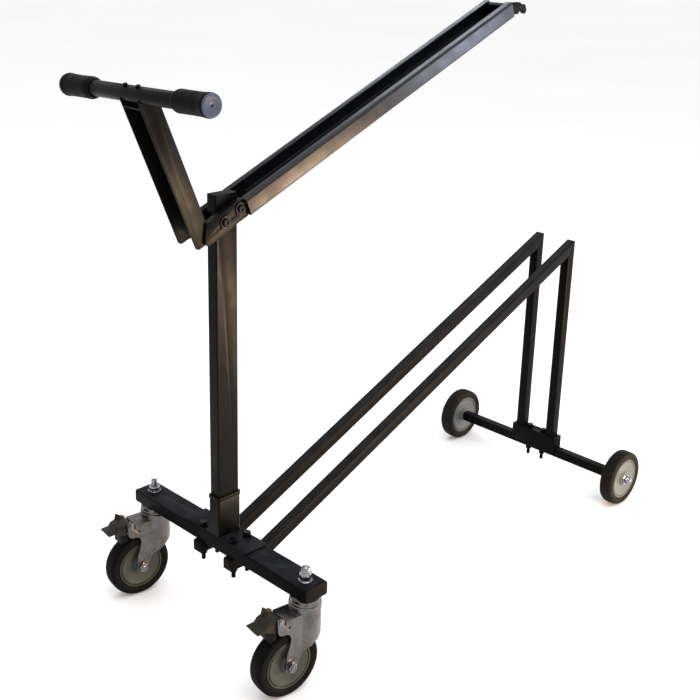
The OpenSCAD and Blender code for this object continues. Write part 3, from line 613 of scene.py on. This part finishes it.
def dress_handle_screws():
    """Two screws through the bar: low round head, plain shank, nut and point under the saddle."""
    bar_r = along("handle_bar", bar_middle, bar_axis)[2]
    screw_r, flats, nut_low, nut_high = 2 * MM, 7 * MM, -bar_r - 9.1 * MM, -bar_r - 5.1 * MM
    shank = [(-bar_r - 12 * MM, 1.4 * MM), (-bar_r - 11.4 * MM, screw_r), (bar_r, screw_r)]
    head = [(bar_r - 0.4 * MM, 4.5 * MM), (bar_r + 1.2 * MM, 4.4 * MM), (bar_r + 2.2 * MM, 3.7 * MM),
            (bar_r + 2.8 * MM, 2.4 * MM), (bar_r + 2.8 * MM, 3 * MM, 1.5 * MM),
            (bar_r + 1.4 * MM, 3 * MM, 1.4 * MM)]
    bm = bmesh.new()
    for low, high in islands("handle_screws"):
        shift = ((low + high) / 2 - bar_middle).dot(bar_axis)
        place = axis_frame(bar_middle + bar_axis * shift, bar_up)
        turn_solid(bm, place, shank, 24)
        turn_solid(bm, place, head)
        turn_solid(bm, place, nut_outline(nut_low, nut_high, flats))
    finish_solids(bm, "handle_screws")


dress_handle_screws()


def dome_outline(height, flats, flange_r):
    """Acorn nut: flange, chamfered hexagon, domed cap."""
    dome_r = flats * 0.47
    base = height - dome_r
    outline = [(0, flange_r - 0.5 * MM), (0.5 * MM, flange_r), (1.2 * MM, flange_r),
               (2.4 * MM, flange_r - 2.2 * MM), (2.5 * MM, flats, flats * 0.5)]
    outline += nut_outline(2.6 * MM, base - 0.6 * MM, flats)[1:3]
    outline += [(base - 0.6 * MM, flats, flats * 0.49), (base, dome_r)]
    steps = 12
    for i in range(1, steps):
        angle = math.pi / 2 * i / steps
        outline.append((base + dome_r * math.sin(angle), dome_r * math.cos(angle)))
    return outline


def dress_rear_nuts():
    """Acorn nuts at the ends of the rear axle."""
    bm = bmesh.new()
    for low, high in islands("rear_axle_nuts"):
        centre = (low + high) / 2
        sign = 1 if centre.y > 0 else -1
        place = axis_frame((centre.x, sign * min(abs(low.y), abs(high.y)), centre.z), (0, sign, 0))
        turn_solid(bm, place, dome_outline(high.y - low.y, flats=17 * MM, flange_r=12 * MM))
    finish_solids(bm, "rear_axle_nuts", sharp_deg=28.0)


def dress_stem_nuts():
    """Open nut with a stud tip on the left stem, acorn nut on the right one."""
    flats, flange_r, washer_h, nut_top = 19 * MM, 12.5 * MM, 2.5 * MM, 11 * MM
    stud = thread_outline(9 * MM, 23 * MM, 6.05 * MM, 1.75 * MM)
    bm = bmesh.new()
    for low, high in islands("stem_nuts"):
        centre = (low + high) / 2
        place = axis_frame((centre.x, centre.y, low.z), (0, 0, 1))
        if centre.y < 0:
            turn_solid(bm, place, dome_outline(high.z - low.z, flats, flange_r))
        else:
            turn_solid(bm, place, washer_outline(0, washer_h, flange_r))
            turn_solid(bm, place, nut_outline(washer_h, nut_top, flats))
            turn_solid(bm, place, stud, 32)
    finish_solids(bm, "stem_nuts", sharp_deg=28.0)


dress_rear_nuts()
dress_stem_nuts()


def dress_caster_axle(side):
    """Axle with washer, nut and thread end at each side of the fork."""
    node = "caster_axle_" + side
    origin, axis = joint(f"caster_{side}_wheel_spin")
    reach = along(node, origin, axis)[1]
    fork, axle_r, washer_h, nut_h, flats = 21 * MM, 5 * MM, 1.6 * MM, 6 * MM, 16 * MM
    bm = bmesh.new()
    turn_solid(bm, axis_frame(origin, axis), [(-fork - 2 * MM, axle_r), (fork + 2 * MM, axle_r)], 32)
    for sign in (-1, 1):
        place = axis_frame(origin, axis * sign)
        turn_solid(bm, place, washer_outline(fork, fork + washer_h, 9.5 * MM))
        turn_solid(bm, place, nut_outline(fork + washer_h, fork + washer_h + nut_h, flats))
        turn_solid(bm, place, thread_outline(fork + nut_h, reach, axle_r, 1.2 * MM), 32)
    finish_solids(bm, node)


for side in SIDES:
    dress_caster_axle(side)


# ---- floor, light and camera ---------------------------------------------------------------------

FLOOR_SIZE, FLOOR_DROP = 60.0, 0.5 * MM


def plain_floor():
    """Pale floor just under the wheels."""
    bm = bmesh.new()
    bmesh.ops.create_grid(bm, x_segments=1, y_segments=1, size=FLOOR_SIZE / 2)
    mesh = bpy.data.meshes.new("floor")
    bm.to_mesh(mesh)
    bm.free()
    floor = bpy.data.objects.new("floor", mesh)
    floor.location.z = cad_box[0][2] - FLOOR_DROP
    bpy.context.collection.objects.link(floor)
    g = Graph("floor_white")
    tone = g.mix(g.spread(g.noise(0.8, 2.0), 0.3, 0.7), (0.93, 0.93, 0.93), (0.95, 0.95, 0.95))
    mesh.materials.append(g.finish(tone, Roughness=0.9, Specular_IOR_Level=0.1))


def soft_light(name, place, target, size, watts, colour=(1.0, 1.0, 1.0)):
    """Rectangular lamp that looks from place to target."""
    lamp = bpy.data.lights.new(name, "AREA")
    lamp.shape = "RECTANGLE"
    lamp.size, lamp.size_y = size
    lamp.energy = watts
    lamp.color = colour
    thing = bpy.data.objects.new(name, lamp)
    bpy.context.collection.objects.link(thing)
    thing.visible_camera = False
    thing.location = place
    thing.rotation_euler = (Vector(target) - Vector(place)).to_track_quat("-Z", "Y").to_euler()


def studio():
    """White surroundings, one soft lamp above, a warm one low down and two cool ones on the rail."""
    plain_floor()
    centre = (Vector(cad_box[0]) + Vector(cad_box[1])) / 2
    soft_light("top_soft", (-0.6, -0.8, 3.6), centre, (3.0, 3.0), 60)
    soft_light("side_warm", (0.75, -1.5, 0.12), (-0.4, 0.0, 0.65), (0.9, 0.35), 75, (1.0, 0.68, 0.42))
    soft_light("rail_cool", (3.2, -1.9, 0.95), (0.25, 0.0, 1.1), (0.8, 0.8), 60, (0.7, 0.78, 1.0))
    soft_light("rail_top", (1.3, 1.4, 2.4), (0.2, 0.0, 1.1), (1.2, 1.0), 12, (0.75, 0.84, 1.0))
    world = bpy.data.worlds.new("studio")
    world.use_nodes = True
    world.node_tree.nodes["Background"].inputs[0].default_value = (1.0, 1.0, 1.0, 1.0)
    world.node_tree.nodes["Background"].inputs[1].default_value = 1.0
    bpy.context.scene.world = world
    bpy.context.scene.view_settings.view_transform = "Standard"


def photo_camera():
    """The camera at the photograph's viewing angle, as if the picture was cut a little off centre."""
    yaw, pitch, roll = (math.radians(degrees) for degrees in (44.0349, 18.5334, 1.6085))
    sensor, focal_widths, shift_y = 36.0, 1.640032, -0.0857  # focal length in sensor widths
    place = Vector((-1.599849, -1.434262, 1.295199))
    ahead = Vector((math.cos(pitch) * math.cos(yaw), math.cos(pitch) * math.sin(yaw),
                    -math.sin(pitch)))
    level = Vector((math.sin(yaw), -math.cos(yaw), 0.0))
    above = level.cross(ahead)
    right = level * math.cos(roll) + above * math.sin(roll)
    up = above * math.cos(roll) - level * math.sin(roll)
    lens = bpy.data.cameras.new("photo")
    lens.sensor_width = sensor
    lens.lens = sensor * focal_widths
    lens.shift_y = shift_y
    lens.clip_end = 200.0
    camera = bpy.data.objects.new("photo", lens)
    camera.matrix_world = Matrix.Translation(place) @ Matrix((right, up, -ahead)).transposed().to_4x4()
    bpy.context.collection.objects.link(camera)
    bpy.context.scene.camera = camera


studio()
photo_camera()
